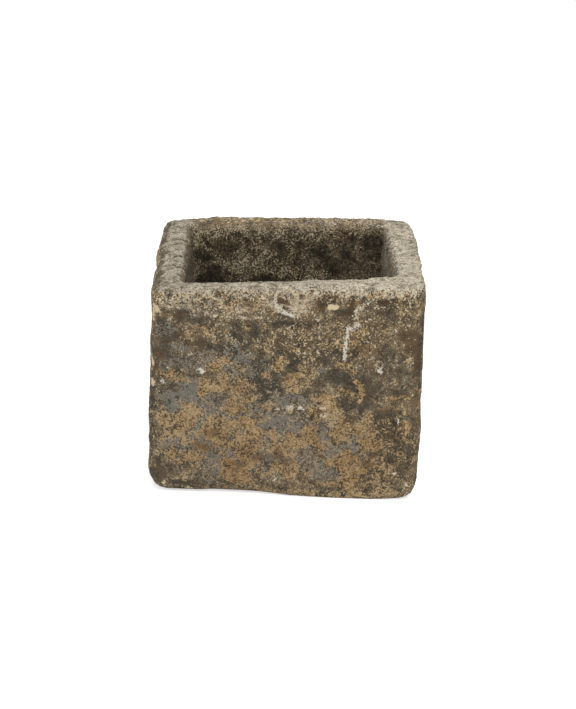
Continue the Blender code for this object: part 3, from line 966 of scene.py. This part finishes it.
    def rim(self, tone):
        """Worn stone, darker where grimy and lighter where clean, with the ledges' painted light and shade: a
        painted highlight on their crests, and painted shade behind them and on the left wall's outer
        shoulder. Less of this worn stone where rust shows through.
        """
        shading, colours = self.shading, self.colours
        bare = shading.sum((shading.mark("rim"), 1.0), (shading.mark("brown"), -0.5))
        mask = self.patch(bare, self.pattern(0.3, 0.3, 0.4), 3.0, 0.25)
        right = shading.mark("right")
        worn = shading.mix(right, colours.rim_left, colours.rim_right)
        # The rim's dark colour stands for dirt and for painted shade
        grime_and_shade = shading.mix(right, colours.rim_left_grime_and_shade, colours.rim_right_grime_and_shade)
        streaks = shading.node("ShaderNodeMapping", {"Vector": self.place, "Scale": (0.4, 1.0, 1.0)})
        streak = shading.noise(streaks.outputs["Vector"], 0.0075, 2.0)
        level = shading.sum((self.pattern(0.10, 0.15, 0.25, 0.30), 1.0), (streak, 0.20), base=-0.11)
        # The ledge mark adds painted light on the ledges' crests, and painted shade behind them and on the
        # left wall's outer shoulder
        level = shading.sum((level, 1.0), (self.height, 0.05), (shading.mark("ledge"), 0.22))
        clean_and_lit = shading.stretch(level, 0.42, 0.60)
        return shading.over(tone, self.grit(shading.mix(clean_and_lit, grime_and_shade, worn), 0.60), mask, 0.95)

    def cavity(self, tone):
        """Damp algae over the cavity's walls, with pale flecks. On the side walls it is laid as painted shade
        as well, deeper down and stronger on the left wall.
        """
        shading = self.shading
        # The soot mark darkens the algae; at the back wall's left end it is painted shade as well
        spots, dark = shading.mark("mottle"), shading.mark("soot")
        level = shading.sum((self.coarse, 1.0), (spots, 0.08), (dark, -0.08))
        dim = self.ramp(
            level, cavity_dark=0.40, cavity=0.47, cavity_mid=0.53, stone_dark=0.60, stone=0.67
        )
        dim = shading.over(dim, self.colours.brown, shading.mark("brown"), 0.45)
        dim = self.grit(dim, 1.0)
        amount = shading.sum((spots, 0.34), (dark, -0.25), (self.blotch, 0.7), (self.height, 0.2), base=-0.34)
        flecks = self.patch(amount, self.speckle, 2.6, 0.14)
        fleck = self.ramp(self.chance, cavity_fleck=0.38, cream=0.64)
        dim = shading.over(dim, fleck, flecks, 0.78)
        # The inside mark lays on the algae, and painted shade on the side walls
        return shading.mix(shading.mark("inside"), tone, dim)

    def spills(self, tone):
        tone, _ = self.film(tone, "mortar", self.pattern(0.2, 0.5, 0.3), 3.0, 0.12)
        tone, _ = self.film(tone, "lime", self.pattern(0.5, 0.5, 0.0), 2.6, 0.35, 0.85)
        return tone

    def finish(self, tone):
        """Lays the tone and a fine bump, weaker on the smooth lichen, on the stone's surface."""
        shading = self.shading
        relief = shading.sum((self.grain, 0.45), (self.speckle, 0.35), (self.fleck_mask, 0.12))
        strength = shading.stretch(self.smooth, 0.0, 1.0, 1.0, 0.35)
        inputs = {"Height": relief, "Strength": strength, "Distance": 0.002}
        bump = shading.node("ShaderNodeBump", inputs).outputs["Normal"]
        shader = self.material.node_tree.nodes["Principled BSDF"]
        shading.fill(shader, {"Base Color": tone, "Normal": bump})
        shading.fill(shader, {"Roughness": 0.9, "Specular IOR Level": 0.25})


class TROUGH_OT_stage(Operator):
    """Add the pale floor, the soft lights and the camera"""

    bl_idname = "trough.stage"
    bl_label = "Stage"

    FLOOR_SIZE = 30.0
    FLOOR_DROP = 0.0005
    FLOOR_GLOW = 0.6
    SKY_LIGHT = 0.55

    # Each lamp's place, width and power, and what all of them aim at
    LAMPS = {
        "key": ((0.9, -2.0, 3.0), 2.2, 55.0),
        "fill": ((-2.4, -2.0, 1.6), 2.4, 18.0),
        "top": ((0.0, 0.6, 3.0), 2.4, 28.0),
    }
    AIM = (0.0, 0.0, 0.2)

    def execute(self, context):
        self.floor()
        self.lamps()
        self.sky(context.scene)
        self.camera(context.scene)
        return {"FINISHED"}

    def floor(self):
        deselect_all()
        bpy.ops.mesh.primitive_plane_add(size=self.FLOOR_SIZE, location=(0.0, 0.0, -self.FLOOR_DROP))
        floor = bpy.context.object
        floor.name = "floor"
        bpy.ops.object.transform_apply(location=True, rotation=True, scale=True)
        material = bpy.data.materials.new("pale_floor")
        material.use_nodes = True
        shading = Shading(material.node_tree)
        path = shading.node("ShaderNodeLightPath")
        inputs = {
            "Base Color": (0.85, 0.85, 0.85, 1.0),
            "Roughness": 1.0,
            "Specular IOR Level": 0.0,
            "Emission Color": (1.0, 1.0, 1.0, 1.0),
            "Emission Strength": shading.math("MULTIPLY", path.outputs["Is Camera Ray"], self.FLOOR_GLOW),
        }
        shading.fill(material.node_tree.nodes["Principled BSDF"], inputs)
        floor.data.materials.append(material)

    def lamps(self):
        for name, (place, size, power) in self.LAMPS.items():
            deselect_all()
            bpy.ops.object.light_add(type="AREA", location=place)
            lamp = bpy.context.object
            lamp.name = name
            lamp.data.size = size
            lamp.data.energy = power
            aim = Vector(self.AIM) - Vector(place)
            lamp.rotation_euler = aim.to_track_quat("-Z", "Y").to_euler()

    def sky(self, scene):
        world = bpy.data.worlds.new("studio")
        world.use_nodes = True
        scene.world = world
        shading = Shading(world.node_tree)
        path = shading.node("ShaderNodeLightPath")
        strength = shading.stretch(path.outputs["Is Camera Ray"], 0.0, 1.0, self.SKY_LIGHT, 1.0)
        inputs = {"Color": (1.0, 1.0, 1.0, 1.0), "Strength": strength}
        shading.fill(world.node_tree.nodes["Background"], inputs)

    def camera(self, scene):
        """Looks along +Y and down at the trough, turned about its line of sight."""
        stage = scene.trough_stage
        turn = Matrix.Rotation(math.radians(90) - stage.elevation, 4, "X")
        turn @= Matrix.Rotation(stage.roll, 4, "Z")
        place = Vector((stage.target_x, 0.0, stage.target_z)) + turn.col[2].to_3d() * stage.distance
        data = bpy.data.cameras.new("camera")
        data.lens = stage.lens / MM
        camera = bpy.data.objects.new("camera", data)
        scene.collection.objects.link(camera)
        camera.matrix_world = Matrix.Translation(place) @ turn
        scene.camera = camera
        scene.view_settings.view_transform = "Standard"


class TROUGH_PT_panel(Panel):
    """Lists the trough's sizes, colours and steps"""

    bl_idname = "TROUGH_PT_panel"
    bl_label = "Limestone trough"
    bl_space_type = "VIEW_3D"
    bl_region_type = "UI"
    bl_category = "Trough"

    def draw(self, context):
        for name in PROPERTY_GROUPS:
            box = self.layout.box()
            group = getattr(context.scene, name)
            for field in group.__annotations__:
                box.prop(group, field)
        for operator in OPERATORS:
            self.layout.operator(operator.bl_idname)


PROPERTY_GROUPS = {
    "trough_block": TroughBlock,
    "trough_relief": TroughRelief,
    "trough_colours": TroughColours,
    "trough_stage": TroughStage,
}
OPERATORS = (TROUGH_OT_stone, TROUGH_OT_stage)
CLASSES = (*PROPERTY_GROUPS.values(), *OPERATORS, TROUGH_PT_panel)


def register():
    for kind in CLASSES:
        bpy.utils.register_class(kind)
    for name, kind in PROPERTY_GROUPS.items():
        setattr(bpy.types.Scene, name, PointerProperty(type=kind))


def unregister():
    for name in PROPERTY_GROUPS:
        delattr(bpy.types.Scene, name)
    for kind in reversed(CLASSES):
        bpy.utils.unregister_class(kind)


def main():
    register()
    bpy.ops.trough.stone()
    bpy.ops.trough.stage()


if __name__ == "__main__":
    main()
